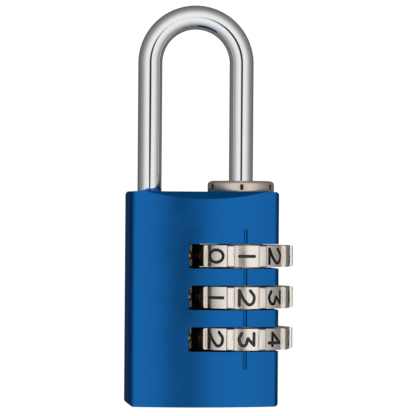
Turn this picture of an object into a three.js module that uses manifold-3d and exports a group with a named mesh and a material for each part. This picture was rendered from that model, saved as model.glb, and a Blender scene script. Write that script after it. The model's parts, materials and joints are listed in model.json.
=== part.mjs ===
// A small three-dial combination padlock with a settable code, shown locked.
//
// Millimetres, +Z up. The origin is the middle of the body's underside and the front faces -Y.
// The shackle's long leg, the collar, the dials and the code sleeves share one upright axis.

import * as THREE from 'three';
import { mergeVertices } from 'three/addons/utils/BufferGeometryUtils.js';
import Module from 'manifold-3d';

// ---- Driving dimensions ----------------------------------------------------------------

// Body: a solid block with a bulging front and back.
const BODY_WIDTH = 20.0;
const BODY_HEIGHT = 28.65;
const BODY_DEPTH = 11.5; // at the crown of the front and back
const FACE_RISE = 1.5; // how far the crown stands in front of the upright edges
const EDGE_RADIUS = 1.0; // upright edges
const CORNER_RADIUS = 0.55; // four corners of the front view
const TOP_CHAMFER = 1.0; // 45 degrees, so it dies out where the bulge falls away

// Shackle: round wire, one long leg on the dials' axis and one short toe.
const AXIS_X = 5.3;
const TOE_X = -7.08;
const WIRE_RADIUS = 1.62;
const SHACKLE_TOP = 53.7;
const TOE_DEPTH = 4.2; // how much of the toe is inside the body
const LEG_END_Z = 4.7;

// Dials: ten flats with a rounded rib between each two, numbered from the top one down.
const DIAL_COUNT = 3;
const FIRST_DIAL_Z = 20.09;
const DIAL_PITCH = 5.52;
const DIAL_HEIGHT = 2.85;
const RIB_RADIUS = 7.15;
const FLAT_DISTANCE = 6.68; // from the axis to a digit's flat
const FLAT_WIDTH = 3.0;
const DIGITS = 10;
const DIAL_BORE_RADIUS = 3.1;

// Code sleeves: each turns with its dial, and its inner ring lets a fin pass at one gate only.
const SLEEVE_RADIUS = 3.0;
const SLEEVE_WALL = 0.5;
const SLEEVE_BELOW = 3.2; // from the dial's middle down to the sleeve's lower end
const SLEEVE_GAP = 0.05; // between one sleeve and the next
const RING_LOW = -0.2; // the ring's underside, from the dial's middle
const RING_HEIGHT = 1.6;
const RING_BORE_RADIUS = 1.8;
const GATE_WIDTH = 1.9;
const FIN_WIDTH = 1.5;
const FIN_HEIGHT = 1.4;
const FIN_REACH = 2.3; // from the axis
const LOCKED_PLAY = 0.9; // how far a locked shackle can be pulled before its fins meet the rings
const LUG_LOW = 0.4; // the sleeve's lug, from the dial's middle
const LUG_HEIGHT = 0.65;
const LUG_REACH = 3.45;
const LUG_WIDTH = 0.7;
const NOTCH_REACH = 3.6;
const NOTCH_WIDTH = 0.9;
const NOTCH_LOW = 0.35; // above this the dial's bore is notched, and below it is a plain chamber
const CHAMBER_LOW = -0.75;

// Holes in the body.
const SLOT_BELOW = 1.68; // from the dial's middle down to the slot's floor
const SLOT_ABOVE = 1.6;
const SLOT_LEFT = -2.3;
const SLOT_BACK = 2.0; // the slot's back wall, left of the dial
const SLOT_SWEEP_RADIUS = 7.5; // round clearance for the turning dial
const CORE_BORE_RADIUS = 3.1;
const CORE_BORE_TOP = 24.2;
const LEG_HOLE_RADIUS = 1.8;
const TOE_HOLE_DEPTH = 4.7;
const INDEX_WIDTH = 0.6;
const INDEX_DEPTH = 0.3;
const INDEX_LOW = 5.07;
const INDEX_HIGH = 23.63;

// Collar round the long leg, pressed into the top of the body.
const COLLAR_RADIUS = 4.48;
const COLLAR_HEIGHT = 1.48;
const COLLAR_ROUND = 0.45;
const COLLAR_BORE_RADIUS = 1.75;
const COLLAR_STEM_RADIUS = 3.2;
const COLLAR_STEM_DEPTH = 2.3;
const COLLAR_PITS = 6;
const COLLAR_PIT_PHASE = -96; // degrees, so that one pit is just left of the front

// Stop pin: pressed in from the back, it rides along a flat on the long leg.
const STOP_PIN_Z = 25.2;
const STOP_PIN_RADIUS = 0.6;
const LEG_FLAT_DISTANCE = 1.05; // from the axis to the flat, and to the bottom of its groove
const LEG_FLAT_TOP = 25.9;
const LEG_GROOVE_LOW = 19.45; // the groove that lets the raised shackle swivel
const LEG_GROOVE_HIGH = 20.9;

// Bottom plug, reset washer and springs.
const PLUG_RADIUS = 3.9;
const PLUG_LOW = 0.25;
const PLUG_TOP = 1.8;
const SPIGOT_RADIUS = 0.85;
const SPIGOT_TOP = 2.6;
const WASHER_LOW = 5.1;
const WASHER_THICKNESS = 0.65;

// Click balls that hold each dial on a digit, in pockets in the slots' left wall. Each ball
// faces a flat two tenths of a turn left of the front, just clear of the ribs' sweep.
const BALL_RADIUS = 0.8;
const BALL_DISTANCE = RIB_RADIUS + BALL_RADIUS + 0.03;
const BALL_X = AXIS_X - BALL_DISTANCE * Math.sin((4 * Math.PI) / DIGITS);
const BALL_Y = -BALL_DISTANCE * Math.cos((4 * Math.PI) / DIGITS);
const POCKET_RADIUS = 0.9;
const POCKET_END_X = -5.6;

const FIT_GAP = 0.1; // radial gap round a pressed or sliding piece
const SEAT_GAP = 0.05; // where one piece rests on another

const ROUND_SIDES = 40;

// ---- Finishes --------------------------------------------------------------------------

const FINISHES = {
  blueAnodised: { color: 0x115c9d, roughness: 0.42, metalness: 0.6 },
  chromedSteel: { color: 0xd9dde0, roughness: 0.12, metalness: 1.0 },
  warmNickel: { color: 0xd8cab8, roughness: 0.3, metalness: 1.0 },
  brass: { color: 0xc9a24c, roughness: 0.35, metalness: 1.0 },
  springSteel: { color: 0x9a9da1, roughness: 0.35, metalness: 1.0 },
};

// ---- Helpers ---------------------------------------------------------------------------

const wasm = await Module();
wasm.setup();

/** A closed three.js geometry as a solid that can be joined and cut. */
function solid(geometry) {
  const bare = geometry.clone();
  bare.deleteAttribute('normal');
  bare.deleteAttribute('uv');
  const merged = mergeVertices(bare, 1e-5);
  return new wasm.Manifold(new wasm.Mesh({
    numProp: 3,
    vertProperties: new Float32Array(merged.attributes.position.array),
    triVerts: new Uint32Array(merged.index.array),
  }));
}

/** The three.js geometry of a solid. */
function geometryOf(shape) {
  const mesh = shape.getMesh();
  const geometry = new THREE.BufferGeometry();
  geometry.setAttribute('position', new THREE.BufferAttribute(mesh.vertProperties, 3));
  geometry.setIndex(new THREE.BufferAttribute(mesh.triVerts, 1));
  geometry.computeVertexNormals();
  return geometry;
}

/** An upright cylinder on the point (x, y). */
function rod(radius, low, high, x = 0, y = 0, sides = ROUND_SIDES) {
  const geometry = new THREE.CylinderGeometry(radius, radius, high - low, sides);
  return solid(geometry.rotateX(Math.PI / 2).translate(x, y, (low + high) / 2));
}

/** A box between two corners. */
function block(x0, x1, y0, y1, z0, z1) {
  const geometry = new THREE.BoxGeometry(x1 - x0, y1 - y0, z1 - z0);
  return solid(geometry.translate((x0 + x1) / 2, (y0 + y1) / 2, (z0 + z1) / 2));
}

/** A flat outline in X and Y, raised from one height to another. */
function prism(outline, low, high) {
  const geometry = new THREE.ExtrudeGeometry(outline, {
    depth: high - low, bevelEnabled: false, curveSegments: 8,
  });
  return solid(geometry.translate(0, 0, low));
}

/** An upright tube round the origin. */
function tube(outer, inner, low, high) {
  return rod(outer, low, high).subtract(rod(inner, low - 1, high + 1));
}

/** A round wire along a curve. */
function wire(curve, radius, steps, sides) {
  const section = new THREE.Shape();
  for (let i = 0; i < sides; i++) {
    const angle = (2 * Math.PI * i) / sides;
    const point = [radius * Math.cos(angle), radius * Math.sin(angle)];
    if (i === 0) section.moveTo(...point);
    else section.lineTo(...point);
  }
  section.closePath();
  return new THREE.ExtrudeGeometry(section, { steps, bevelEnabled: false, extrudePath: curve });
}

function place(name, geometry, finish) {
  const mesh = new THREE.Mesh(geometry, new THREE.MeshStandardMaterial(FINISHES[finish]));
  mesh.name = name;
  return mesh;
}

/** The middle height of a dial, the first at the top. */
const dialZ = (i) => FIRST_DIAL_Z - i * DIAL_PITCH;

const halfWidth = BODY_WIDTH / 2;
const halfDepth = BODY_DEPTH / 2;
const faceRadius = (halfWidth ** 2 + FACE_RISE ** 2) / (2 * FACE_RISE);

/** How far the bulging back stands behind the middle plane; the front is the same. */
const faceY = (x) => halfDepth - faceRadius + Math.sqrt(faceRadius ** 2 - x ** 2);

/** The coil's centre line: closed turns at both ends, standing on its lower end. */
class CoilLine extends THREE.Curve {
  constructor(radius, length, turns) {
    super();
    Object.assign(this, { radius, length, turns });
  }

  getPoint(t) {
    const angle = 2 * Math.PI * this.turns * t;
    const x = this.radius * Math.cos(angle);
    const y = this.radius * Math.sin(angle);
    return new THREE.Vector3(x, y, this.length * t);
  }
}

/** A coil spring from z = 0 to z = height. */
function coil(meanRadius, wireRadius, height, turns) {
  const line = new CoilLine(meanRadius, height - 2 * wireRadius, turns);
  return wire(line, wireRadius, Math.round(turns * 10), 6).translate(0, 0, wireRadius);
}

// ---- Body ------------------------------------------------------------------------------

/** Plan of the body: bulging front and back, flat sides, rounded upright edges. */
function bodyPlan() {
  const plan = new THREE.Shape();
  const faceSteps = 16;
  const edgeSteps = 4;
  const edgeX = halfWidth - EDGE_RADIUS; // middle of the rounding
  const lean = Math.asin(edgeX / (faceRadius - EDGE_RADIUS)); // the face's slope at its start
  const cornerX = faceRadius * Math.sin(lean);
  const edgeY = faceY(cornerX) - EDGE_RADIUS * Math.cos(lean);
  const points = [];
  for (let i = 0; i <= faceSteps; i++) {
    const x = cornerX * (1 - (2 * i) / faceSteps);
    points.push([x, faceY(x)]);
  }
  for (let i = 1; i <= edgeSteps; i++) {
    const angle = Math.PI / 2 + lean + (i / edgeSteps) * (Math.PI / 2 - lean);
    const y = edgeY + EDGE_RADIUS * Math.sin(angle);
    points.push([-halfWidth + EDGE_RADIUS + EDGE_RADIUS * Math.cos(angle), y]);
  }
  const half = points.length;
  plan.moveTo(-points[half - 1][0], points[half - 1][1]);
  for (let i = half - 2; i > faceSteps; i--) plan.lineTo(-points[i][0], points[i][1]);
  for (const [x, y] of points) plan.lineTo(x, y);
  for (let i = half - 1; i >= 0; i--) plan.lineTo(points[i][0], -points[i][1]);
  for (let i = faceSteps + 1; i < half; i++) plan.lineTo(-points[i][0], -points[i][1]);
  plan.closePath();
  return plan;
}

/** Front view of the body: a rectangle with four small rounded corners. */
function frontView() {
  const r = CORNER_RADIUS;
  const view = new THREE.Shape();
  view.absarc(halfWidth - r, r, r, -Math.PI / 2, 0);
  view.absarc(halfWidth - r, BODY_HEIGHT - r, r, 0, Math.PI / 2);
  view.absarc(r - halfWidth, BODY_HEIGHT - r, r, Math.PI / 2, Math.PI);
  view.absarc(r - halfWidth, r, r, Math.PI, 1.5 * Math.PI);
  const geometry = new THREE.ExtrudeGeometry(view, {
    depth: 2 * BODY_DEPTH, bevelEnabled: false, curveSegments: 3,
  });
  return solid(geometry.rotateX(Math.PI / 2).translate(0, BODY_DEPTH, 0));
}

/** The wedge that takes the top edge off the front (side = -1) or the back (side = 1). */
function topChamfer(side) {
  const size = 4;
  const geometry = new THREE.BoxGeometry(BODY_WIDTH + 2, size, size);
  geometry.rotateX(Math.PI / 4);
  const reach = (size / 2) * Math.SQRT2;
  return solid(geometry.translate(0, side * (halfDepth - TOP_CHAMFER + reach), BODY_HEIGHT));
}

/** The slot for one dial: open at the front and the right, and at the back where it turns. */
function dialSlot(i) {
  const low = dialZ(i) - SLOT_BELOW;
  const high = dialZ(i) + SLOT_ABOVE;
  const mouth = block(SLOT_LEFT, halfWidth + 1, -BODY_DEPTH, SLOT_BACK, low, high);
  return mouth.add(rod(SLOT_SWEEP_RADIUS, low, high, AXIS_X, 0, 64));
}

/** The pocket that holds one click ball and its spring. */
function ballPocket(i) {
  const length = SLOT_LEFT + 0.1 - POCKET_END_X;
  const geometry = new THREE.CylinderGeometry(POCKET_RADIUS, POCKET_RADIUS, length, 16);
  geometry.rotateZ(Math.PI / 2);
  return solid(geometry.translate(POCKET_END_X + length / 2, BALL_Y, dialZ(i)));
}

/** The hole from the back for the stop pin. */
function stopPinHole() {
  const radius = STOP_PIN_RADIUS + FIT_GAP;
  const geometry = new THREE.CylinderGeometry(radius, radius, BODY_DEPTH, 16);
  return solid(geometry.translate(AXIS_X, BODY_DEPTH / 2, STOP_PIN_Z));
}

function makeBody() {
  let body = prism(bodyPlan(), 0, BODY_HEIGHT).intersect(frontView());
  for (const side of [-1, 1]) body = body.subtract(topChamfer(side));
  for (let i = 0; i < DIAL_COUNT; i++) body = body.subtract(dialSlot(i));
  for (let i = 0; i < DIAL_COUNT; i++) body = body.subtract(ballPocket(i));
  const plugHole = rod(PLUG_RADIUS + FIT_GAP, -1, PLUG_TOP + SEAT_GAP, AXIS_X);
  const coreBore = rod(CORE_BORE_RADIUS, 1, CORE_BORE_TOP, AXIS_X);
  const lugKeyway = block(
    AXIS_X - NOTCH_WIDTH / 2, AXIS_X + NOTCH_WIDTH / 2, 0, NOTCH_REACH, 1, dialZ(0),
  );
  const legHole = rod(LEG_HOLE_RADIUS, 20, BODY_HEIGHT + 1, AXIS_X);
  const collarSeat = rod(
    COLLAR_STEM_RADIUS + FIT_GAP, BODY_HEIGHT - COLLAR_STEM_DEPTH - FIT_GAP, BODY_HEIGHT + 1, AXIS_X,
  );
  const toeHole = rod(LEG_HOLE_RADIUS, BODY_HEIGHT - TOE_HOLE_DEPTH, BODY_HEIGHT + 1, TOE_X, 0, 28);
  const indexGroove = block(
    AXIS_X - INDEX_WIDTH / 2, AXIS_X + INDEX_WIDTH / 2,
    -BODY_DEPTH, INDEX_DEPTH - faceY(AXIS_X), INDEX_LOW, INDEX_HIGH,
  );
  const holes = [
    plugHole, coreBore, lugKeyway, legHole, collarSeat, toeHole, indexGroove, stopPinHole(),
  ];
  for (const hole of holes) body = body.subtract(hole);
  return geometryOf(body);
}

// ---- Shackle ---------------------------------------------------------------------------

/** The wire's centre line, with most of the steps spent on the bend. */
class ShackleLine extends THREE.Curve {
  getPoint(t) {
    const bendRadius = (AXIS_X - TOE_X) / 2;
    const bendZ = SHACKLE_TOP - WIRE_RADIUS - bendRadius;
    const legShare = 1 / 14; // of the steps, on each leg
    if (t <= legShare) {
      return new THREE.Vector3(AXIS_X, 0, LEG_END_Z + (bendZ - LEG_END_Z) * (t / legShare));
    }
    if (t >= 1 - legShare) {
      const toeEndZ = BODY_HEIGHT - TOE_DEPTH;
      return new THREE.Vector3(TOE_X, 0, toeEndZ + (bendZ - toeEndZ) * ((1 - t) / legShare));
    }
    const angle = (Math.PI * (t - legShare)) / (1 - 2 * legShare);
    const x = (AXIS_X + TOE_X) / 2 + bendRadius * Math.cos(angle);
    return new THREE.Vector3(x, 0, bendZ + bendRadius * Math.sin(angle));
  }

  getUtoTmapping(u) {
    return u;
  }
}

function makeShackle() {
  let shackle = solid(wire(new ShackleLine(), WIRE_RADIUS, 28, 24));
  for (let i = 0; i < DIAL_COUNT; i++) {
    const finTop = dialZ(i) + RING_LOW - LOCKED_PLAY;
    shackle = shackle.add(block(
      AXIS_X - FIN_REACH, AXIS_X - 1, -FIN_WIDTH / 2, FIN_WIDTH / 2, finTop - FIN_HEIGHT, finTop,
    ));
  }
  const flat = block(AXIS_X - 2, AXIS_X + 2, LEG_FLAT_DISTANCE, 3, LEG_GROOVE_LOW, LEG_FLAT_TOP);
  const groove = tube(3, LEG_FLAT_DISTANCE, LEG_GROOVE_LOW, LEG_GROOVE_HIGH);
  return geometryOf(shackle.subtract(flat).subtract(groove.translate([AXIS_X, 0, 0])));
}

// ---- Collar, stop pin and plug ---------------------------------------------------------

function makeCollar() {
  const low = BODY_HEIGHT + SEAT_GAP;
  const high = BODY_HEIGHT + COLLAR_HEIGHT;
  const stemLow = BODY_HEIGHT - COLLAR_STEM_DEPTH;
  const profile = [
    new THREE.Vector2(COLLAR_BORE_RADIUS, stemLow),
    new THREE.Vector2(COLLAR_STEM_RADIUS, stemLow),
    new THREE.Vector2(COLLAR_STEM_RADIUS, low),
    new THREE.Vector2(COLLAR_RADIUS, low),
  ];
  const roundSteps = 4;
  for (let i = 0; i <= roundSteps; i++) {
    const angle = (Math.PI / 2) * (i / roundSteps);
    profile.push(new THREE.Vector2(
      COLLAR_RADIUS - COLLAR_ROUND * (1 - Math.cos(angle)),
      high - COLLAR_ROUND * (1 - Math.sin(angle)),
    ));
  }
  profile.push(new THREE.Vector2(COLLAR_BORE_RADIUS, high), profile[0].clone());
  const turned = new THREE.LatheGeometry(profile, ROUND_SIDES).rotateX(Math.PI / 2);
  let collar = solid(turned);
  const pitZ = low + COLLAR_HEIGHT * 0.4;
  for (let i = 0; i < COLLAR_PITS; i++) {
    const pit = block(COLLAR_RADIUS - 0.5, COLLAR_RADIUS + 1, -0.24, 0.24, pitZ - 0.38, pitZ + 0.38);
    collar = collar.subtract(pit.rotate([0, 0, COLLAR_PIT_PHASE + (360 * i) / COLLAR_PITS]));
  }
  return geometryOf(collar.translate([AXIS_X, 0, 0]));
}

function makeStopPin() {
  const tipY = LEG_FLAT_DISTANCE + FIT_GAP;
  const headY = faceY(AXIS_X) - FIT_GAP;
  const geometry = new THREE.CylinderGeometry(STOP_PIN_RADIUS, STOP_PIN_RADIUS, headY - tipY, 16);
  return geometry.translate(AXIS_X, (tipY + headY) / 2, STOP_PIN_Z);
}

function makeBottomPlug() {
  const disc = rod(PLUG_RADIUS, PLUG_LOW, PLUG_TOP, AXIS_X);
  return geometryOf(disc.add(rod(SPIGOT_RADIUS, PLUG_TOP - 0.5, SPIGOT_TOP, AXIS_X, 0, 20)));
}

// ---- Dials and code sleeves ------------------------------------------------------------

/** Plan of a dial: flats that face the front at each tenth of a turn, and ribs between them. */
function dialPlan() {
  const plan = new THREE.Shape();
  const ribSteps = 6;
  const flatEndRadius = Math.hypot(FLAT_DISTANCE, FLAT_WIDTH / 2);
  const flatEndAngle = Math.atan2(FLAT_WIDTH / 2, FLAT_DISTANCE);
  const step = (2 * Math.PI) / DIGITS;
  for (let i = 0; i < DIGITS; i++) {
    const facing = -Math.PI / 2 + i * step;
    for (let j = 0; j <= ribSteps; j++) {
      const across = j / ribSteps; // from one flat to the next, over the rib
      const angle = facing + flatEndAngle + across * (step - 2 * flatEndAngle);
      const rise = Math.sqrt(1 - Math.abs(2 * across - 1) ** 3);
      const radius = flatEndRadius + rise * (RIB_RADIUS - flatEndRadius);
      const point = [radius * Math.cos(angle), radius * Math.sin(angle)];
      if (i === 0 && j === 0) plan.moveTo(...point);
      else plan.lineTo(...point);
    }
  }
  plan.closePath();
  return plan;
}

function makeDial() {
  const half = DIAL_HEIGHT / 2;
  let dial = prism(dialPlan(), -half, half);
  dial = dial.subtract(rod(DIAL_BORE_RADIUS, -half - 1, half + 1));
  dial = dial.subtract(rod(NOTCH_REACH, CHAMBER_LOW, NOTCH_LOW));
  for (let i = 0; i < DIGITS; i++) {
    const notch = block(
      DIAL_BORE_RADIUS - 0.5, NOTCH_REACH, -NOTCH_WIDTH / 2, NOTCH_WIDTH / 2, NOTCH_LOW - 0.1, half + 1,
    );
    dial = dial.subtract(notch.rotate([0, 0, (360 * i) / DIGITS]));
  }
  return geometryOf(dial);
}

function makeCodeSleeve() {
  const inner = SLEEVE_RADIUS - SLEEVE_WALL;
  const high = DIAL_PITCH - SLEEVE_BELOW - SLEEVE_GAP;
  const ringHigh = RING_LOW + RING_HEIGHT;
  const ring = tube(inner + 0.2, RING_BORE_RADIUS, RING_LOW, ringHigh);
  const gate = block(-inner, 0, -GATE_WIDTH / 2, GATE_WIDTH / 2, RING_LOW - 1, ringHigh + 1);
  const lug = block(
    inner + 0.2, LUG_REACH, -LUG_WIDTH / 2, LUG_WIDTH / 2, LUG_LOW, LUG_LOW + LUG_HEIGHT,
  );
  const sleeve = tube(SLEEVE_RADIUS, inner, -SLEEVE_BELOW, high);
  return geometryOf(sleeve.add(ring).add(lug).subtract(gate.intersect(rod(inner, -3, 3))));
}

// ---- Reset washer, springs and click balls ---------------------------------------------

function makeResetWasher() {
  const washer = tube(SLEEVE_RADIUS, LEG_HOLE_RADIUS, WASHER_LOW, WASHER_LOW + WASHER_THICKNESS);
  return geometryOf(washer.translate([AXIS_X, 0, 0]));
}

function makeResetSpring() {
  const seat = PLUG_TOP + SEAT_GAP;
  return coil(2.65, 0.175, WASHER_LOW - SEAT_GAP - seat, 4).translate(AXIS_X, 0, seat);
}

function makeLiftSpring() {
  const seat = PLUG_TOP + SEAT_GAP;
  return coil(1.2, 0.15, LEG_END_Z - SEAT_GAP - seat, 6).translate(AXIS_X, 0, seat);
}

function makeClickBall(i) {
  const geometry = new THREE.SphereGeometry(BALL_RADIUS, 14, 10);
  return geometryOf(solid(geometry.translate(BALL_X, BALL_Y, dialZ(i))));
}

function makeClickSpring(i) {
  const end = BALL_X - BALL_RADIUS - SEAT_GAP;
  const start = POCKET_END_X + SEAT_GAP;
  const spring = coil(0.55, 0.1, end - start, 4.5).rotateY(Math.PI / 2);
  return spring.translate(start, BALL_Y, dialZ(i));
}

// ---- Assembly --------------------------------------------------------------------------

const padlock = new THREE.Group();
padlock.add(place('body', makeBody(), 'blueAnodised'));
padlock.add(place('bottom_plug', makeBottomPlug(), 'brass'));
padlock.add(place('shackle_collar', makeCollar(), 'warmNickel'));
padlock.add(place('stop_pin', makeStopPin(), 'springSteel'));
padlock.add(place('shackle', makeShackle(), 'chromedSteel'));

for (let i = 0; i < DIAL_COUNT; i++) {
  const wheelset = new THREE.Group();
  wheelset.position.set(AXIS_X, 0, dialZ(i));
  wheelset.add(place(`number_dial_${i + 1}`, makeDial(), 'warmNickel'));
  wheelset.add(place(`code_sleeve_${i + 1}`, makeCodeSleeve(), 'brass'));
  padlock.add(wheelset);
  padlock.add(place(`click_ball_${i + 1}`, makeClickBall(i), 'springSteel'));
  padlock.add(place(`click_spring_${i + 1}`, makeClickSpring(i), 'springSteel'));
}

padlock.add(place('reset_washer', makeResetWasher(), 'brass'));
padlock.add(place('reset_spring', makeResetSpring(), 'springSteel'));
padlock.add(place('lift_spring', makeLiftSpring(), 'springSteel'));

export default padlock;
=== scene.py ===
# %% [markdown]
# A small combination padlock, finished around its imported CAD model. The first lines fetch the
# frame, and everything after reads its sizes.

# %% Load the frame
import json
import math

import bmesh
import bpy
from mathutils import Matrix, Vector

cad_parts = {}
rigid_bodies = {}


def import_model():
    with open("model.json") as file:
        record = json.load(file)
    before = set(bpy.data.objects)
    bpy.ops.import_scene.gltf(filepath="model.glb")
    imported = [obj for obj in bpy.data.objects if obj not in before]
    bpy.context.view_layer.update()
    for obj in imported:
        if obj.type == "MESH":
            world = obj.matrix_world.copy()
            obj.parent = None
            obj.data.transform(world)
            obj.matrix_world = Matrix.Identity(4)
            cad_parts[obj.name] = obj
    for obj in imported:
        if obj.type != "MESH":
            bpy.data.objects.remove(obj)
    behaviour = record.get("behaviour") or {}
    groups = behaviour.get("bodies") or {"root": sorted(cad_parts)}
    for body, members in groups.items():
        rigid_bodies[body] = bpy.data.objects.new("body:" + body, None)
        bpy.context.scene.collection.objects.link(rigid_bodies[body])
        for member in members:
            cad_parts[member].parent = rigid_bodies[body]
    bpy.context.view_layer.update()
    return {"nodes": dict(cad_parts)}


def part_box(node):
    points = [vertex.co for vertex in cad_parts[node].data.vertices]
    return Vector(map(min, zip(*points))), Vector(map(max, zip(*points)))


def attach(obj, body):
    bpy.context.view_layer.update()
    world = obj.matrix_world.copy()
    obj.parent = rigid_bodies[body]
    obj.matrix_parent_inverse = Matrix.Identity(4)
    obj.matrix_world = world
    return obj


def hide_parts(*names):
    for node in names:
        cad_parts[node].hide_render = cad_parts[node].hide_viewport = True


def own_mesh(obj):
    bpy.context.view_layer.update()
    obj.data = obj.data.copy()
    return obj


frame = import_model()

MM = 0.001

# %% [markdown]
# The lock's own sizes come from the boxes of its CAD nodes. The dials, the collar and the long
# leg share one upright axis, so one number places most of the lock. The pieces are modelled in
# millimetres, because cuts a hundredth of a millimetre deep are too fine for a mesh in metres,
# and each finished piece is scaled to metres at the end.

# %% Sizes read from the frame
def size_of(node):
    """(lowest corner, highest corner, middle) of a CAD node, as vectors in millimetres."""
    low, high = (Vector(corner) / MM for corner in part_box(node))
    return low, high, (low + high) / 2


_, body_high, _ = size_of("body")
shackle_low, shackle_high, _ = size_of("shackle")
collar_low, collar_high, _ = size_of("shackle_collar")
dial_low, dial_high, dial_mid = size_of("number_dial_1")
_, sleeve_high, _ = size_of("code_sleeve_1")
plug_low, plug_high, _ = size_of("bottom_plug")

HALF_WIDTH = body_high.x
HALF_DEPTH = body_high.y
BODY_HEIGHT = body_high.z
AXIS_X = dial_mid.x
WIRE_RADIUS = (shackle_high.y - shackle_low.y) / 2
TOE_X = shackle_low.x + WIRE_RADIUS
BEND_RADIUS = (AXIS_X - TOE_X) / 2
BEND_Z = shackle_high.z - WIRE_RADIUS - BEND_RADIUS
RIB_RADIUS = (dial_high.x - dial_low.x) / 2
DIAL_HEIGHT = dial_high.z - dial_low.z
DIAL_Z = [size_of(f"number_dial_{i}")[2].z for i in (1, 2, 3)]
COLLAR_RADIUS = (collar_high.x - collar_low.x) / 2
print(f"axis at x = {AXIS_X:.2f} mm, dials at z =", [round(z, 2) for z in DIAL_Z])

# %% [markdown]
# A few modelling helpers. A finished piece is a mesh whose place is in its vertices, so its
# object stays at the origin, unturned. Flat and curved areas meet at sharp edges: the mesh is
# smooth all over, and edges past a chosen angle are marked sharp.

# %% Mesh helpers
MERGE_DISTANCE = 1e-4
SOFT_ANGLE = math.radians(30)


def verts_in(geom):
    """The vertices among the mixed parts that a mesh operator returns."""
    return [part for part in geom if isinstance(part, bmesh.types.BMVert)]


def edges_in(geom):
    return [part for part in geom if isinstance(part, bmesh.types.BMEdge)]


def add_to_scene(name, data):
    """A new object at the origin."""
    made = bpy.data.objects.new(name, data)
    bpy.context.scene.collection.objects.link(made)
    return made


def fresh(name, bm, smooth_angle=35):
    """A new object from a bmesh, shaded smooth up to smooth_angle degrees."""
    bmesh.ops.recalc_face_normals(bm, faces=bm.faces[:])
    mesh = bpy.data.meshes.new(name)
    bm.to_mesh(mesh)
    bm.free()
    shade(mesh, smooth_angle)
    return add_to_scene(name, mesh)


def shade(mesh, smooth_angle=35):
    mesh.polygons.foreach_set("use_smooth", [True] * len(mesh.polygons))
    mesh.set_sharp_from_angle(angle=math.radians(smooth_angle))


def bake_modifiers(piece):
    """Replaces the piece's mesh by what its modifiers make of it."""
    bpy.context.view_layer.update()
    evaluated = piece.evaluated_get(bpy.context.evaluated_depsgraph_get())
    result = bpy.data.meshes.new_from_object(evaluated)
    piece.modifiers.clear()
    piece.data = result


def combine(piece, other, operation):
    """Joins (UNION), cuts (DIFFERENCE) or trims (INTERSECT) piece by other, which is used up."""
    boolean = piece.modifiers.new(operation.lower(), "BOOLEAN")
    boolean.object = other
    boolean.operation = operation
    boolean.solver = "EXACT"
    boolean.material_mode = "TRANSFER"
    bake_modifiers(piece)
    bpy.data.objects.remove(other)


def box_bmesh(low, high):
    """A box between two corners."""
    bm = bmesh.new()
    size = Vector(high) - Vector(low)
    middle = (Vector(high) + Vector(low)) / 2
    place = Matrix.Translation(middle) @ Matrix.Diagonal((*size, 1))
    bmesh.ops.create_cube(bm, size=1, matrix=place)
    return bm


def rod_bmesh(radius, low, high, at=(0, 0), segments=96):
    """An upright cylinder."""
    bm = bmesh.new()
    place = Matrix.Translation((*at, (low + high) / 2))
    bmesh.ops.create_cone(bm, cap_ends=True, segments=segments, radius1=radius, radius2=radius,
                          depth=high - low, matrix=place)
    return bm


def lathe_bmesh(profile, steps=96):
    """Turns a closed profile of (radius, height) points round the upright axis."""
    bm = bmesh.new()
    verts = [bm.verts.new((radius, 0, height)) for radius, height in profile]
    edges = [bm.edges.new(pair) for pair in zip(verts, verts[1:] + verts[:1])]
    bmesh.ops.spin(bm, geom=verts + edges, cent=(0, 0, 0), axis=(0, 0, 1),
                   angle=2 * math.pi, steps=steps, use_merge=True)
    bmesh.ops.remove_doubles(bm, verts=bm.verts[:], dist=MERGE_DISTANCE)
    return bm


def soften(piece, width):
    """Rounds every edge sharper than SOFT_ANGLE, so that it catches the light."""
    bm = bmesh.new()
    bm.from_mesh(piece.data)
    bmesh.ops.remove_doubles(bm, verts=bm.verts[:], dist=MERGE_DISTANCE)
    bmesh.ops.dissolve_degenerate(bm, edges=bm.edges[:], dist=MERGE_DISTANCE)
    sharp = [e for e in bm.edges if e.is_manifold and e.calc_face_angle(0) > SOFT_ANGLE]
    bmesh.ops.bevel(bm, geom=sharp, offset=width, affect="EDGES", segments=2,
                    profile=0.5, material=-1, clamp_overlap=True)
    bm.to_mesh(piece.data)
    bm.free()
    shade(piece.data, 40)


def finish_piece(piece, body, material, slot_name, *nodes):
    """Scales a piece to metres, gives it its material, hides its CAD nodes and ties it to its
    body.
    """
    piece.data.transform(Matrix.Scale(MM, 4))
    if material is not None:
        piece.data.materials.clear()
        piece.data.materials.append(material)
    if nodes:
        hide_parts(*nodes)
    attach(piece, body)
    print(piece.name, len(piece.data.polygons), "faces on", body)


# %% [markdown]
# Two surface effects are shared by the metals, so each is a node group that is built once.
# The first is a fine grain: the tiny unevenness that a tumbled or blasted metal keeps under
# its plating. The second is handling haze: large faint patches that are a little duller.

# %% Shared shader groups
def group_with(name, inputs, outputs):
    """An empty shader node group with named sockets, and its input and output nodes."""
    group = bpy.data.node_groups.new(name, "ShaderNodeTree")
    for socket, kind, value in inputs:
        made = group.interface.new_socket(socket, in_out="INPUT", socket_type=kind)
        if value is not None:
            made.default_value = value
    for socket, kind in outputs:
        group.interface.new_socket(socket, in_out="OUTPUT", socket_type=kind)
    return group, group.nodes.new("NodeGroupInput"), group.nodes.new("NodeGroupOutput")


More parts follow.
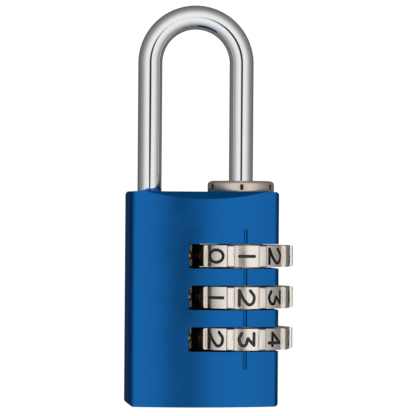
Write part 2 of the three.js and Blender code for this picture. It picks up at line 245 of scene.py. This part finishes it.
def make_grain_group():
    group, given, result = group_with(
        "fine_grain",
        [("Scale", "NodeSocketFloat", 6000.0), ("Stretch", "NodeSocketVector", (1, 1, 1)),
         ("Depth", "NodeSocketFloat", 0.1)],
        [("Mask", "NodeSocketFloat"), ("Normal", "NodeSocketVector")])
    nodes, links = group.nodes, group.links
    place = nodes.new("ShaderNodeTexCoord")
    stretch = nodes.new("ShaderNodeMapping")
    noise = nodes.new("ShaderNodeTexNoise")
    noise.inputs["Detail"].default_value = 3.0
    bump = nodes.new("ShaderNodeBump")
    bump.inputs["Distance"].default_value = 0.01 * MM
    links.new(place.outputs["Object"], stretch.inputs["Vector"])
    links.new(given.outputs["Stretch"], stretch.inputs["Scale"])
    links.new(stretch.outputs["Vector"], noise.inputs["Vector"])
    links.new(given.outputs["Scale"], noise.inputs["Scale"])
    links.new(noise.outputs["Fac"], bump.inputs["Height"])
    links.new(given.outputs["Depth"], bump.inputs["Strength"])
    links.new(noise.outputs["Fac"], result.inputs["Mask"])
    links.new(bump.outputs["Normal"], result.inputs["Normal"])
    return group


def make_haze_group():
    group, given, result = group_with(
        "handling_haze",
        [("Clean", "NodeSocketFloat", 0.2), ("Dull", "NodeSocketFloat", 0.3)],
        [("Roughness", "NodeSocketFloat"), ("Mask", "NodeSocketFloat")])
    nodes, links = group.nodes, group.links
    place = nodes.new("ShaderNodeTexCoord")
    noise = nodes.new("ShaderNodeTexNoise")
    noise.inputs["Scale"].default_value = 220.0
    noise.inputs["Detail"].default_value = 4.0
    spread = nodes.new("ShaderNodeMapRange")
    spread.inputs["From Min"].default_value = 0.35
    spread.inputs["From Max"].default_value = 0.65
    links.new(place.outputs["Object"], noise.inputs["Vector"])
    links.new(noise.outputs["Fac"], spread.inputs["Value"])
    links.new(given.outputs["Clean"], spread.inputs["To Min"])
    links.new(given.outputs["Dull"], spread.inputs["To Max"])
    links.new(spread.outputs["Result"], result.inputs["Roughness"])
    links.new(noise.outputs["Fac"], result.inputs["Mask"])
    return group


GRAIN = make_grain_group()
HAZE = make_haze_group()
print("shared groups:", GRAIN.name, HAZE.name)

# %% [markdown]
# Every metal here starts from one recipe: a Principled shader whose colour wanders a little
# between two near tones, whose roughness comes from the haze, and whose normal comes from the
# grain. What differs is the numbers, so the recipe is a function. Two of its results are painted
# shade on the body: a darker blue for the sides of the index line, and a near-black metal for
# the insides of the slots and holes, which also lines the collar's pits.

# %% Metals
def metal(name, tone, other_tone, clean, dull, grain_scale, grain_depth, metallic=1.0,
          stretch=(1, 1, 1), edge_tint=(1, 1, 1)):
    """A metal between two tones, whose roughness runs from clean to dull."""
    material = bpy.data.materials.new(name)
    material.use_nodes = True
    nodes, links = material.node_tree.nodes, material.node_tree.links
    shader = nodes["Principled BSDF"]
    shader.inputs["Metallic"].default_value = metallic
    shader.inputs["Specular Tint"].default_value = (*edge_tint, 1)
    haze = nodes.new("ShaderNodeGroup")
    haze.node_tree = HAZE
    haze.inputs["Clean"].default_value = clean
    haze.inputs["Dull"].default_value = dull
    grain = nodes.new("ShaderNodeGroup")
    grain.node_tree = GRAIN
    grain.inputs["Scale"].default_value = grain_scale
    grain.inputs["Stretch"].default_value = stretch
    grain.inputs["Depth"].default_value = grain_depth
    mix = nodes.new("ShaderNodeMix")
    mix.data_type = "RGBA"
    mix.inputs["A"].default_value = (*tone, 1)
    mix.inputs["B"].default_value = (*other_tone, 1)
    links.new(haze.outputs["Mask"], mix.inputs["Factor"])
    links.new(mix.outputs["Result"], shader.inputs["Base Color"])
    links.new(haze.outputs["Roughness"], shader.inputs["Roughness"])
    links.new(grain.outputs["Normal"], shader.inputs["Normal"])
    return material


blue = metal("blue_anodised", (0.007, 0.115, 0.37), (0.011, 0.13, 0.4), clean=0.26, dull=0.3,
             grain_scale=9000, grain_depth=0.2, edge_tint=(0.02, 0.3, 0.8))
chrome = metal("polished_chrome", (0.74, 0.75, 0.77), (0.78, 0.79, 0.8), clean=0.02, dull=0.05,
               grain_scale=3000, grain_depth=0.03)
nickel = metal("warm_nickel", (0.8, 0.73, 0.66), (0.86, 0.8, 0.73), clean=0.2, dull=0.28,
               grain_scale=2500, grain_depth=0.2, stretch=(1, 1, 5))
satin_nickel = metal("satin_nickel", (0.66, 0.56, 0.47), (0.72, 0.62, 0.53), clean=0.36,
                     dull=0.44, grain_scale=2500, grain_depth=0.25, stretch=(1, 1, 5))
brass = metal("turned_brass", (0.62, 0.43, 0.18), (0.7, 0.5, 0.24), clean=0.28, dull=0.4,
              grain_scale=2500, grain_depth=0.3, stretch=(1, 1, 6))
steel = metal("spring_steel", (0.42, 0.42, 0.43), (0.52, 0.52, 0.53), clean=0.25, dull=0.35,
              grain_scale=3000, grain_depth=0.2)
shadow_blue = metal("shadow_blue", (0.002, 0.03, 0.1), (0.003, 0.035, 0.12), clean=0.4, dull=0.5,
                    grain_scale=6000, grain_depth=0.2)
# Near-black metal for the deep insides of the slots, holes and pits: painted shade.
painted_recess_shade = metal("painted_recess_shade", (0.016, 0.013, 0.011), (0.03, 0.024, 0.02), clean=0.5, dull=0.6,
                 grain_scale=4000, grain_depth=0.3, metallic=0.5)
print("materials in the scene so far:", len(bpy.data.materials))

# %% [markdown]
# The engraved digits are filled with black enamel.

# %% Digit paint
def make_digit_paint():
    """Black enamel, wiped into the engraving."""
    material = bpy.data.materials.new("digit_paint")
    material.use_nodes = True
    nodes, links = material.node_tree.nodes, material.node_tree.links
    shader = nodes["Principled BSDF"]
    place = nodes.new("ShaderNodeTexCoord")
    noise = nodes.new("ShaderNodeTexNoise")
    noise.inputs["Scale"].default_value = 2500
    ramp = nodes.new("ShaderNodeMix")
    ramp.data_type = "RGBA"
    ramp.inputs["A"].default_value = (0.008, 0.008, 0.009, 1)
    ramp.inputs["B"].default_value = (0.03, 0.028, 0.026, 1)
    links.new(place.outputs["Object"], noise.inputs["Vector"])
    links.new(noise.outputs["Fac"], ramp.inputs["Factor"])
    links.new(ramp.outputs["Result"], shader.inputs["Base Color"])
    shader.inputs["Roughness"].default_value = 0.4
    return material


paint = make_digit_paint()
print("paint:", paint.name)

# %% [markdown]
# The body is a bar of aluminium that bulges at the front and the back. Its plan is two wide
# arcs with a small round at each corner. Spinning a single vertex draws an arc, so the front
# half of the plan takes three spins, and the back half is a turned copy.

# %% Body: plan and block
EDGE_RADIUS = 1.0
FACE_RISE = 1.5
FACE_RADIUS = (HALF_WIDTH ** 2 + FACE_RISE ** 2) / (2 * FACE_RISE)
FACE_CENTRE_Y = FACE_RADIUS - HALF_DEPTH
FACE_STEPS = 144
EDGE_STEPS = 20


def face_y(x):
    """How far in front of the middle plane the front stands, at x."""
    return math.sqrt(FACE_RADIUS ** 2 - x ** 2) - FACE_CENTRE_Y


def plan_bmesh():
    bm = bmesh.new()
    round_x = HALF_WIDTH - EDGE_RADIUS
    lean = math.asin(round_x / (FACE_RADIUS - EDGE_RADIUS))
    round_y = FACE_CENTRE_Y - (FACE_RADIUS - EDGE_RADIUS) * math.cos(lean)
    start = bm.verts.new((-FACE_RADIUS * math.sin(lean),
                          FACE_CENTRE_Y - FACE_RADIUS * math.cos(lean), 0))
    arc = bmesh.ops.spin(bm, geom=[start], cent=(0, FACE_CENTRE_Y, 0), axis=(0, 0, 1),
                         angle=2 * lean, steps=FACE_STEPS)
    turn = math.pi / 2 - lean
    bmesh.ops.spin(bm, geom=verts_in(arc["geom_last"]), cent=(round_x, round_y, 0),
                   axis=(0, 0, 1), angle=turn, steps=EDGE_STEPS)
    bmesh.ops.spin(bm, geom=[start], cent=(-round_x, round_y, 0), axis=(0, 0, 1),
                   angle=-turn, steps=EDGE_STEPS)
    back = bmesh.ops.duplicate(bm, geom=bm.verts[:] + bm.edges[:])
    bmesh.ops.rotate(bm, verts=verts_in(back["geom"]), cent=(0, 0, 0),
                     matrix=Matrix.Rotation(math.pi, 3, "Z"))
    ends = [v for v in bm.verts if len(v.link_edges) == 1]
    for side in (-1, 1):
        bmesh.ops.contextual_create(bm, geom=[v for v in ends if v.co.x * side > 0])
    bmesh.ops.contextual_create(bm, geom=bm.edges[:])
    return bm


def raise_plan(bm, height):
    """Extrudes a flat plan straight up to a prism."""
    raised = bmesh.ops.extrude_face_region(bm, geom=bm.faces[:])
    bmesh.ops.translate(bm, verts=verts_in(raised["geom"]), vec=(0, 0, height))


TOP_CHAMFER = 1.0


def chamfer_top(bm, side):
    """Cuts a 45 degree facet off the top edge. It dies out where the bulge falls away."""
    cut = bmesh.ops.bisect_plane(
        bm, geom=bm.verts[:] + bm.edges[:] + bm.faces[:], dist=1e-6,
        plane_co=(0, side * (HALF_DEPTH - TOP_CHAMFER), BODY_HEIGHT),
        plane_no=(0, side, 1), clear_outer=True)
    bmesh.ops.contextual_create(bm, geom=edges_in(cut["geom_cut"]))


block = plan_bmesh()
raise_plan(block, BODY_HEIGHT)
for side in (-1, 1):
    chamfer_top(block, side)
body = fresh("lock_body_block", block)
print("block:", len(body.data.vertices), "vertices")

# %% [markdown]
# Seen from the front, the block's four corners are a little rounded too.

# %% Body: rounded corners of the front view
CORNER_RADIUS = 0.55


def front_view_bmesh():
    bm = box_bmesh((-HALF_WIDTH, -2 * HALF_DEPTH, 0), (HALF_WIDTH, 2 * HALF_DEPTH, BODY_HEIGHT))
    corners = [e for e in bm.edges if abs(e.verts[0].co.y - e.verts[1].co.y) > HALF_DEPTH]
    bmesh.ops.bevel(bm, geom=corners, offset=CORNER_RADIUS, affect="EDGES", segments=12,
                    profile=0.5, material=-1)
    return bm


combine(body, fresh("front_view", front_view_bmesh()), "INTERSECT")
body.data.materials.clear()
print("block with rounded corners:", len(body.data.vertices), "vertices")

# %% [markdown]
# A milling cutter opens three slots for the dials, from the front and the right. Where each
# dial turns, the slot follows it round and breaks through the back. The drilled holes follow:
# the core bore, the holes for both legs, and the engraved index line that the code is read at.

# %% Body: slots, holes and index line
SLOT_LEFT = -2.3
SLOT_BACK = 3.2
SLOT_BELOW = 1.68
SLOT_ABOVE = 1.6
SWEEP_RADIUS = RIB_RADIUS + 0.35
FIT_GAP = 0.1
CORE_RADIUS = sleeve_high.y + FIT_GAP
CORE_LOW = 1
CORE_TOP = BODY_HEIGHT - 4.5
PLUG_HOLE_RADIUS = plug_high.x - AXIS_X + FIT_GAP
PLUG_HOLE_TOP = plug_low.z + 1.6
LEG_HOLE_RADIUS = WIRE_RADIUS + 0.175
TOE_HOLE_DEPTH = 4.7
COLLAR_SEAT_RADIUS = 3.3
COLLAR_SEAT_DEPTH = 2.4
INDEX_LOW = 5.07
INDEX_HIGH = 23.63
INDEX_DEPTH = 0.3
INDEX_HALF_WIDTH = 0.26
INDEX_HALF_FLOOR = 0.13
FAR = 20  # past every face of the body
CLEAR = 0.05  # how far the index cutter starts in front of the surface


def slot_cutters(z):
    """One dial's slot: the milled pocket, and the sweep that follows the dial round."""
    low, high = z - SLOT_BELOW, z + SLOT_ABOVE
    return [box_bmesh((SLOT_LEFT, -FAR, low), (FAR, SLOT_BACK, high)),
            rod_bmesh(SWEEP_RADIUS, low, high, at=(AXIS_X, 0), segments=160)]


def hole_cutters():
    """The core bore, plug hole, leg hole and collar seat on the dials' axis; the toe's hole."""
    axis = (AXIS_X, 0)
    return [rod_bmesh(CORE_RADIUS, CORE_LOW, CORE_TOP, at=axis),
            rod_bmesh(PLUG_HOLE_RADIUS, -FAR, PLUG_HOLE_TOP, at=axis),
            rod_bmesh(LEG_HOLE_RADIUS, CORE_TOP - 1, 2 * FAR, at=axis),
            rod_bmesh(COLLAR_SEAT_RADIUS, BODY_HEIGHT - COLLAR_SEAT_DEPTH, 2 * FAR, at=axis),
            rod_bmesh(LEG_HOLE_RADIUS, BODY_HEIGHT - TOE_HOLE_DEPTH, 2 * FAR, at=(TOE_X, 0))]


def index_cutter():
    """The index line's cutter, whose sides lean in towards the line's narrower floor."""
    surface = -face_y(AXIS_X)
    bm = box_bmesh((AXIS_X - INDEX_HALF_WIDTH, surface - CLEAR, INDEX_LOW),
                   (AXIS_X + INDEX_HALF_WIDTH, surface + INDEX_DEPTH, INDEX_HIGH))
    for v in bm.verts:
        if v.co.y > surface:
            v.co.x = AXIS_X + math.copysign(INDEX_HALF_FLOOR, v.co.x - AXIS_X)
    return bm


body.data.materials.append(blue)
# The slots and holes are lined with the near-black metal, painted shade for their unlit insides.
for cutter in [cutter for z in DIAL_Z for cutter in slot_cutters(z)] + hole_cutters():
    tool = fresh("slot_or_hole", cutter)
    tool.data.materials.append(painted_recess_shade)
    combine(body, tool, "DIFFERENCE")
# The index line's sides get the darker blue, painted shade; its floor keeps the plain blue.
tool = fresh("index_line", index_cutter())
tool.data.materials.append(shadow_blue)
tool.data.materials.append(blue)
for face in tool.data.polygons:
    face.material_index = 1 if face.normal.y > 0.9 else 0
combine(body, tool, "DIFFERENCE")
soften(body, 0.07)
print("cut body:", len(body.data.polygons), "faces")

# %% [markdown]
# The two bulges are rows of narrow flat strips. Smooth shading would streak them beside the
# slots, where long thin faces meet, so the strips and the faces that stand square to the axes
# are shaded flat.

# %% Body: shading
ON_BULGE = 0.004
SQUARE = 0.9999

strips = 0
for face in body.data.polygons:
    x, y, _ = face.center
    on_bulge = abs(math.hypot(x, abs(y) + FACE_CENTRE_Y) - FACE_RADIUS) < ON_BULGE
    if on_bulge or max(abs(part) for part in face.normal) > SQUARE:
        face.use_smooth = False
        strips += on_bulge
print(strips, "narrow flat strips make the two bulged faces")
body.name = body.data.name = "padlock_body"
finish_piece(body, "lock_body", None, "blue_anodised_body", "body")

# %% [markdown]
# The shackle is one bent wire. A circle is extruded up the long leg, spun over the bend and
# extruded down to the toe. Both ends are rounded, so that the toe finds its hole. Inside the
# body, the long leg carries three locking fins, a flat for the stop pin and a groove below it.

# %% Shackle
TOE_DEPTH = 4.2
END_ROUND = 0.45
FIN_DROP = 1.1
FIN_HEIGHT = 1.4
FIN_REACH = 2.3
FIN_HALF_WIDTH = 0.75
FLAT_DISTANCE = 1.05
FLAT_TOP = 25.9
GROOVE_LOW = 19.45
GROOVE_HIGH = 20.9
OUTSIDE_WIRE = 3


def run_straight(bm, edges, z):
    """Extrudes a level ring of edges to height z, and returns the new ring."""
    made = bmesh.ops.extrude_edge_only(bm, edges=edges)["geom"]
    for v in verts_in(made):
        v.co.z = z
    return [e for e in edges_in(made) if all(abs(v.co.z - z) < 1e-3 for v in e.verts)]


def wire_bmesh():
    """The bent wire, with both ends closed and rounded."""
    bm = bmesh.new()
    bmesh.ops.create_circle(bm, cap_ends=False, segments=64, radius=WIRE_RADIUS,
                            matrix=Matrix.Translation((AXIS_X, 0, shackle_low.z)))
    ring = run_straight(bm, bm.edges[:], BEND_Z)
    bend = bmesh.ops.spin(bm, geom=ring, cent=((AXIS_X + TOE_X) / 2, 0, BEND_Z), axis=(0, 1, 0),
                          angle=-math.pi, steps=72)
    run_straight(bm, edges_in(bend["geom_last"]), BODY_HEIGHT - TOE_DEPTH)
    bmesh.ops.remove_doubles(bm, verts=bm.verts[:], dist=MERGE_DISTANCE)
    bmesh.ops.holes_fill(bm, edges=[e for e in bm.edges if e.is_boundary], sides=0)
    caps = [f for f in bm.faces if len(f.verts) > 8]
    bmesh.ops.bevel(bm, geom=[e for cap in caps for e in cap.edges], offset=END_ROUND,
                    affect="EDGES", segments=5, profile=0.5, material=-1)
    return bm


def groove_bmesh():
    """The ring of metal that the stop pin's groove takes off the long leg."""
    bm = lathe_bmesh([(FLAT_DISTANCE, GROOVE_LOW), (OUTSIDE_WIRE, GROOVE_LOW),
                      (OUTSIDE_WIRE, GROOVE_HIGH), (FLAT_DISTANCE, GROOVE_HIGH)], steps=64)
    bmesh.ops.translate(bm, verts=bm.verts[:], vec=(AXIS_X, 0, 0))
    return bm


shackle = fresh("bent_shackle", wire_bmesh(), smooth_angle=60)
for z in DIAL_Z:
    fin_top = z - FIN_DROP
    fin = box_bmesh((AXIS_X - FIN_REACH, -FIN_HALF_WIDTH, fin_top - FIN_HEIGHT),
                    (AXIS_X - 1, FIN_HALF_WIDTH, fin_top))
    combine(shackle, fresh("fin", fin), "UNION")
flat = box_bmesh((AXIS_X - 2, FLAT_DISTANCE, GROOVE_HIGH - 0.2),
                 (AXIS_X + 2, OUTSIDE_WIRE, FLAT_TOP))
combine(shackle, fresh("pin_flat", flat), "DIFFERENCE")
combine(shackle, fresh("pin_groove", groove_bmesh()), "DIFFERENCE")
shade(shackle.data, 35)
finish_piece(shackle, "shackle", chrome, "chromed_shackle", "shackle")

# %% [markdown]
# The collar is a turned bush with a soft top edge and six small pits round its side.

# %% Collar
COLLAR_BORE = 1.7
COLLAR_GAP = 0.03
PITS = 6
PIT_PHASE = -96
PIT_DEPTH = 0.35
PIT_HALF_WIDTH = 0.22
PIT_HALF_HEIGHT = 0.38
PIT_Z = BODY_HEIGHT + 0.62


def rounded_profile(inner, outer, low, high, round_x, round_z, steps=8):
    """Closed ring profile whose outer top edge is a quarter of an ellipse."""
    points = [(inner, low), (outer, low)]
    for i in range(steps + 1):
        angle = math.pi / 2 * i / steps
        points.append((outer - round_x * (1 - math.cos(angle)),
                       high - round_z * (1 - math.sin(angle))))
    return points + [(inner, high)]


collar = fresh("collar_ring", lathe_bmesh(rounded_profile(
    COLLAR_BORE, COLLAR_RADIUS, BODY_HEIGHT + COLLAR_GAP, collar_high.z,
    round_x=0.7, round_z=0.5)))
collar.data.materials.append(satin_nickel)
for i in range(PITS):
    pit = box_bmesh((COLLAR_RADIUS - PIT_DEPTH, -PIT_HALF_WIDTH, PIT_Z - PIT_HALF_HEIGHT),
                    (COLLAR_RADIUS + 1, PIT_HALF_WIDTH, PIT_Z + PIT_HALF_HEIGHT))
    turn = math.radians(PIT_PHASE + 360 / PITS * i)
    bmesh.ops.rotate(pit, verts=pit.verts[:], cent=(0, 0, 0), matrix=Matrix.Rotation(turn, 3, "Z"))
    tool = fresh("pit", pit)
    # Each pit is lined with the near-black metal: painted shade.
    tool.data.materials.append(painted_recess_shade)
    combine(collar, tool, "DIFFERENCE")
soften(collar, 0.04)
collar.data.transform(Matrix.Translation((AXIS_X, 0, 0)))
finish_piece(collar, "lock_body", None, "warm_nickel", "shackle_collar")

# %% [markdown]
# A dial starts as a turned disc with rounded edges. Ten lands for the digits are cut into its
# rim, which leaves a raised rib between each two. So the disc is trimmed by an outline with one
# land and one rib, repeated ten times. Then the digits are engraved and filled with paint.

# %% Dial blank
LAND_RADIUS = 6.72
LAND_HALF = 1.52
DIGITS = 10
STEP = 2 * math.pi / DIGITS
RIB_HALF_ANGLE = math.radians(4.3)
SHOULDER_ROUND = 0.24
DISC_EDGE = 0.25


def dial_outline_bmesh():
    """A prism whose plan is ten lands and ten ribs; the first land faces the front."""
    bm = bmesh.new()
    foot = math.asin(LAND_HALF / LAND_RADIUS)
    one_step = [(LAND_RADIUS, foot * i / 4) for i in range(-4, 5)]
    one_step += [(RIB_RADIUS, STEP / 2 - RIB_HALF_ANGLE), (RIB_RADIUS, STEP / 2 + RIB_HALF_ANGLE)]
    verts = []
    for i in range(DIGITS):
        facing = i * STEP - math.pi / 2
        for radius, angle in one_step:
            verts.append(bm.verts.new((radius * math.cos(facing + angle),
                                       radius * math.sin(facing + angle), 0)))
    for pair in zip(verts, verts[1:] + verts[:1]):
        bm.edges.new(pair)
    shoulders = [v for v in bm.verts if v.co.length > RIB_RADIUS - 0.01]
    bmesh.ops.bevel(bm, geom=shoulders, offset=SHOULDER_ROUND, affect="VERTICES", segments=5,
                    profile=0.5, material=-1)
    bmesh.ops.contextual_create(bm, geom=bm.edges[:])
    raise_plan(bm, DIAL_HEIGHT)
    bmesh.ops.translate(bm, vec=(0, 0, -DIAL_HEIGHT / 2), verts=bm.verts[:])
    return bm


def dial_disc_bmesh():
    half = DIAL_HEIGHT / 2
    top = rounded_profile(CORE_RADIUS, RIB_RADIUS, 0, half, DISC_EDGE, DISC_EDGE)[2:]
    bottom = [(radius, -height) for radius, height in reversed(top)]
    return lathe_bmesh(bottom + top, steps=200)


dial = fresh("dial_blank", dial_disc_bmesh())
dial.data.materials.append(nickel)
outline = fresh("dial_outline", dial_outline_bmesh())
outline.data.materials.append(nickel)
combine(dial, outline, "INTERSECT")
print("dial blank:", len(dial.data.polygons), "faces")

# %% [markdown]
# Every stroke of a digit has the same width and round ends. A stroke is a list of points in a
# unit box, where 1 marks a smooth point. A stroke ends at each sharp corner, where the next one
# starts, and a stroke that comes back to its first point is a closed loop.

# %% Digit strokes
SIX = [[(0.84, 0.98, 1), (0.3, 0.76, 1), (0.03, 0.42, 1)],
       [(0.5, 0, 1), (1, 0.3, 1), (0.5, 0.6, 1), (0, 0.3, 1), (0.5, 0, 1)]]
DIGIT_STROKES = {
    0: [[(0.5, 1, 1), (0, 0.5, 1), (0.5, 0, 1), (1, 0.5, 1), (0.5, 1, 1)]],
    1: [[(0.5, 0, 0), (0.5, 1, 0)]],
    2: [[(-0.08, 0.74, 1), (0.48, 1, 1), (1.04, 0.72, 1), (0.75, 0.38, 1), (-0.1, 0, 1)],
        [(-0.1, 0, 0), (1.08, 0, 0)]],
    3: [[(0, 1, 0), (0.95, 1, 0)], [(0.95, 1, 0), (0.42, 0.6, 0)],
        [(0.42, 0.6, 1), (1, 0.32, 1), (0.5, 0, 1), (0, 0.17, 1)]],
    4: [[(0.78, 0, 0), (0.78, 1, 0)], [(0.78, 1, 0), (0, 0.3, 0)], [(0, 0.3, 0), (1, 0.3, 0)]],
    5: [[(0.92, 1, 0), (0.12, 1, 0)], [(0.12, 1, 0), (0.06, 0.56, 0)],
        [(0.06, 0.56, 1), (0.5, 0.64, 1), (1, 0.32, 1), (0.5, 0, 1), (0, 0.15, 1)]],
    6: SIX,
    7: [[(0, 1, 0), (1, 1, 0)], [(1, 1, 0), (0.35, 0, 0)]],
    8: [[(0.5, 1, 1), (0.1, 0.78, 1), (0.5, 0.57, 1), (0.9, 0.78, 1), (0.5, 1, 1)],
        [(0.5, 0.55, 1), (0, 0.28, 1), (0.5, 0, 1), (1, 0.28, 1), (0.5, 0.55, 1)]],
    9: [[(1 - x, 1 - y, smooth) for x, y, smooth in stroke] for stroke in SIX],
}
DIGIT_TALL = 2.0
DIGIT_WIDE = 1.65
print(len(DIGIT_STROKES), "digits drawn")

# %% [markdown]
# A sweep cutter follows the whole stroke, and a plunge cutter makes its round ends. Each cut
# goes a trace deeper than the one before, so that no two floors lie in one plane.

# %% Cutters
STROKE = 0.42
DEPTH = 0.3
TRACE = 0.004
CUTTER_ABOVE = 0.5
PLUNGE_WIDER = 1.03


def on_land(x, y):
    """A point of the unit box, in the XY plane."""
    return Vector(((x - 0.5) * DIGIT_WIDE, (y - 0.5) * DIGIT_TALL, 0))


def stroke_line(stroke):
    """The stroke's centre line, as a mesh of edges in the XY plane."""
    closed = stroke[0] == stroke[-1]
    points = stroke[:-1] if closed else stroke
    curve = bpy.data.curves.new("stroke", "CURVE")
    curve.dimensions = "3D"
    curve.resolution_u = 8
    spline = curve.splines.new("BEZIER")
    spline.bezier_points.add(len(points) - 1)
    spline.use_cyclic_u = closed
    for point, (x, y, smooth) in zip(spline.bezier_points, points):
        point.co = on_land(x, y)
        point.handle_left_type = point.handle_right_type = "AUTO" if smooth else "VECTOR"
    drawn = add_to_scene("stroke", curve)
    line = bpy.data.meshes.new_from_object(
        drawn.evaluated_get(bpy.context.evaluated_depsgraph_get()))
    bpy.data.objects.remove(drawn)
    bm = bmesh.new()
    bm.from_mesh(line)
    bmesh.ops.remove_doubles(bm, verts=bm.verts[:], dist=MERGE_DISTANCE)
    return bm


def sweep_cutter(stroke, depth):
    """One sweep of the cutter: the centre line drawn down to depth and given its width."""
    bm = stroke_line(stroke)
    bmesh.ops.translate(bm, verts=bm.verts[:], vec=(0, 0, -depth))
    wall = bmesh.ops.extrude_edge_only(bm, edges=bm.edges[:])["geom"]
    bmesh.ops.translate(bm, verts=verts_in(wall), vec=(0, 0, CUTTER_ABOVE + depth))
    cutter = fresh("sweep_cutter", bm)
    width = cutter.modifiers.new("width", "SOLIDIFY")
    width.thickness = STROKE
    width.offset = 0
    width.use_even_offset = True
    bake_modifiers(cutter)
    return cutter


def plunge_cutter(x, y, depth):
    """Where the cutter goes in or comes out: a round hole a trace wider than the sweep."""
    place = on_land(x, y)
    return fresh("plunge_cutter", rod_bmesh(STROKE / 2 * PLUNGE_WIDER, -depth, CUTTER_ABOVE,
                                            at=place[:2], segments=20))


print("cutters:", STROKE, "mm wide,", DEPTH, "mm deep")

# %% [markdown]
# The digits lie on their side, with their tops to the right. Each cutter is laid on the front
# land and then turned to its digit's land.

# %% Engraving
ENGRAVING_LAY = Matrix(((0, 1, 0, 0), (0, 0, -1, -LAND_RADIUS), (-1, 0, 0, 0), (0, 0, 0, 1)))


def engrave(digit, cutter):
    """Cuts one cutter's shape into the dial, on that digit's land, and leaves it painted."""
    cutter.data.materials.append(paint)
    cutter.data.transform(Matrix.Rotation(digit * STEP, 4, "Z") @ ENGRAVING_LAY)
    combine(dial, cutter, "DIFFERENCE")
    assert len(dial.data.polygons), f"the cutter for digit {digit} isn't a clean solid"


for digit, strokes in DIGIT_STROKES.items():
    depth = DEPTH
    for stroke in strokes:
        engrave(digit, sweep_cutter(stroke, depth))
        depth += TRACE
    ends = {end[:2] for stroke in strokes for end in (stroke[0], stroke[-1])
            if stroke[0] != stroke[-1]}
    for x, y in sorted(ends):
        engrave(digit, plunge_cutter(x, y, depth))
        depth += TRACE
print("engraved dial:", len(dial.data.polygons), "faces")
shade(dial.data, 30)

# %% [markdown]
# The three dials are copies of the engraved one. Each is turned back by its own number of
# steps, so the top dial shows a 1 at the index line, the middle one a 2 and the bottom one a 3.

# %% Three dials from one
for number, z in enumerate(DIAL_Z, start=1):
    mesh = dial.data.copy()
    mesh.transform(Matrix.Translation((AXIS_X, 0, z)) @ Matrix.Rotation(-number * STEP, 4, "Z"))
    copy = add_to_scene(f"engraved_dial_{number}", mesh)
    finish_piece(copy, f"dial_{number}", None, "warm_nickel", f"number_dial_{number}")
bpy.data.objects.remove(dial)

# %% [markdown]
# The inner pieces keep their CAD shapes and get their own metals.

# %% Inner pieces
INNER = {"bottom_plug": brass, "stop_pin": steel, "reset_washer": brass, "reset_spring": steel,
         "lift_spring": steel}
for i in (1, 2, 3):
    INNER[f"code_sleeve_{i}"] = brass
    INNER[f"click_ball_{i}"] = brass
    INNER[f"click_spring_{i}"] = steel
for name, material in INNER.items():
    node = frame["nodes"][name]
    node.data.materials.clear()
    node.data.materials.append(material)
print(len(INNER), "inner nodes with materials")

# %% [markdown]
# The reset spring and the click springs would shorten along their axis as their joints move; here
# each only gets a mesh of its own.

# %% Springs given their own meshes
SHORTENING = [("reset_spring", "sleeve_1_reset", 2, 0.8)]  # (node, joint, axis number, mm)
SHORTENING += [(f"click_spring_{i}", f"ball_{i}_press", 0, 0.45) for i in (1, 2, 3)]
for name, joint, axis_number, travel in SHORTENING:
    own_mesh(frame["nodes"][name])

# %% [markdown]
# The studio is a round light tent with the camera looking in through a hole. So the light
# depends only on the angle from the camera's direction: dark in the hole, brightest just round
# it, and fading to a dim room behind the lock. The hole is what polished metal shows as a thin
# dark line along its middle. The camera itself sees plain white behind the lock.

# %% Studio
CAMERA_AZIMUTH = math.radians(-7)
HOLE_AZIMUTH = math.radians(-3.5)
# (degrees from the camera's direction, brightness)
TENT = [(0, 0.04), (8, 0.04), (11, 1.05), (30, 1.05), (45, 0.92), (56, 0.72),
        (67, 0.53), (80, 0.36), (100, 0.26), (125, 0.17), (150, 0.14), (180, 0.14)]
PLAIN_WHITE = (1.05, 1.05, 1.05, 1)

world = bpy.data.worlds.new("light_tent")
world.use_nodes = True
nodes, links = world.node_tree.nodes, world.node_tree.links
direction = nodes.new("ShaderNodeTexCoord")
toward = nodes.new("ShaderNodeVectorMath")
toward.operation = "DOT_PRODUCT"
toward.inputs[1].default_value = (math.sin(HOLE_AZIMUTH), -math.cos(HOLE_AZIMUTH), 0)
angle = nodes.new("ShaderNodeMath")
angle.operation = "ARCCOSINE"
share = nodes.new("ShaderNodeMath")
share.operation = "DIVIDE"
share.inputs[1].default_value = math.pi
ramp = nodes.new("ShaderNodeValToRGB")
while len(ramp.color_ramp.elements) < len(TENT):
    ramp.color_ramp.elements.new(0.5)
for stop, (degrees, brightness) in zip(ramp.color_ramp.elements, TENT):
    stop.position = degrees / 180
    stop.color = (brightness, brightness, brightness, 1)
seen = nodes.new("ShaderNodeLightPath")
behind = nodes.new("ShaderNodeMix")
behind.data_type = "RGBA"
behind.inputs["B"].default_value = PLAIN_WHITE
links.new(direction.outputs["Generated"], toward.inputs[0])
links.new(toward.outputs["Value"], angle.inputs[0])
links.new(angle.outputs[0], share.inputs[0])
links.new(share.outputs[0], ramp.inputs["Fac"])
links.new(ramp.outputs["Color"], behind.inputs["A"])
links.new(seen.outputs["Is Camera Ray"], behind.inputs["Factor"])
links.new(behind.outputs["Result"], nodes["Background"].inputs["Color"])
bpy.context.scene.world = world
bpy.context.scene.view_settings.view_transform = "Standard"
print("tent:", len(TENT), "stops")

# %% [markdown]
# The camera looks almost straight at the front, from a little to the left of it.

# %% Camera
CAMERA_DISTANCE = 0.358
AIM = Vector((0.86 * MM, 0, 26.46 * MM))
ROLL = math.radians(0.4)
camera_data = bpy.data.cameras.new("camera")
camera_data.lens = 230
camera_data.sensor_width = 36
camera_data.clip_start = 0.01
camera = add_to_scene("camera", camera_data)
camera.location = AIM + CAMERA_DISTANCE * Vector((math.sin(CAMERA_AZIMUTH),
                                                  -math.cos(CAMERA_AZIMUTH), 0))
look = (AIM - camera.location).to_track_quat("-Z", "Y").to_matrix().to_4x4()
camera.rotation_euler = (look @ Matrix.Rotation(ROLL, 4, "Z")).to_euler()
bpy.context.scene.camera = camera
print("camera:", camera_data.lens, "mm lens, aimed at", [round(v / MM, 2) for v in AIM])
